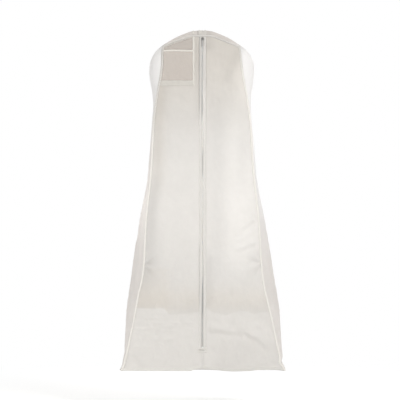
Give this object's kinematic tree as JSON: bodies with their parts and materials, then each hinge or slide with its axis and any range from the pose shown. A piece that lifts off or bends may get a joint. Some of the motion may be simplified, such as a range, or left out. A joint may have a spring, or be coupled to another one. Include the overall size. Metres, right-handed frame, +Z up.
{
  "type": "garment bag",
  "caption": "Long A-line gown bag of white non-woven cloth with side gussets, a full-length centre zip, a clear window with a card pocket and a hanger opening at the top.",
  "frame": {"origin": "centre of the hanger opening, at the very top of the bag", "axes": "+Z up along the hanging bag, +Y towards its back, so the zip faces -Y; +X to the right of someone who looks at the zip"},
  "size_m": [0.8738, 0.2608, 1.83],
  "materials": {
    "cloth": "matte spun-bond cloth, slightly see-through",
    "seam_tape": "matte stitched tape",
    "zip_tape": "matte woven tape",
    "zip_coil": "satin nylon",
    "zip_stop_metal": "satin",
    "clear_vinyl": "clear and glossy",
    "slider_metal": "dark nickel, satin",
    "tab_metal": "nickel, satin"
  },
  "bodies": {
    "bag": {"front_panel_left": "cloth", "front_panel_right": "cloth", "back_panel": "cloth", "shoulder_gusset": "cloth", "side_gusset_left": "cloth", "side_gusset_right": "cloth", "bottom_panel": "cloth", "hanger_opening_binding": "seam_tape", "front_side_binding_left": "seam_tape", "front_side_binding_right": "seam_tape", "front_shoulder_binding": "seam_tape", "back_side_binding_left": "seam_tape", "back_side_binding_right": "seam_tape", "back_shoulder_binding": "seam_tape", "front_hem_binding": "seam_tape", "back_hem_binding": "seam_tape", "zip_top_patch": "seam_tape", "zip_bottom_patch": "seam_tape", "pocket_mouth_binding": "seam_tape", "pocket_side_binding": "seam_tape", "pocket_base_binding": "seam_tape", "zip_tape_left": "zip_tape", "zip_tape_right": "zip_tape", "zip_coil_left": "zip_coil", "zip_coil_right": "zip_coil", "zip_bottom_stop": "zip_coil", "zip_top_stops": "zip_stop_metal", "window_pane": "clear_vinyl", "pocket_pane": "clear_vinyl"},
    "slider": {"zip_slider": "slider_metal"},
    "pull_tab": {"zip_pull_tab": "tab_metal"}
  },
  "joints": [
    {"name": "zip_slide", "type": "slide", "parent": "bag", "child": "slider", "axis": [0, -0.042, -0.9991], "range_m": [0, 1.634]},
    {"name": "pull_tab_hinge", "type": "hinge", "parent": "slider", "child": "pull_tab", "pos_m": [0, -0.06014, -0.05066], "axis": [-1, 0, 0], "range_deg": [0, 165]}
  ]
}
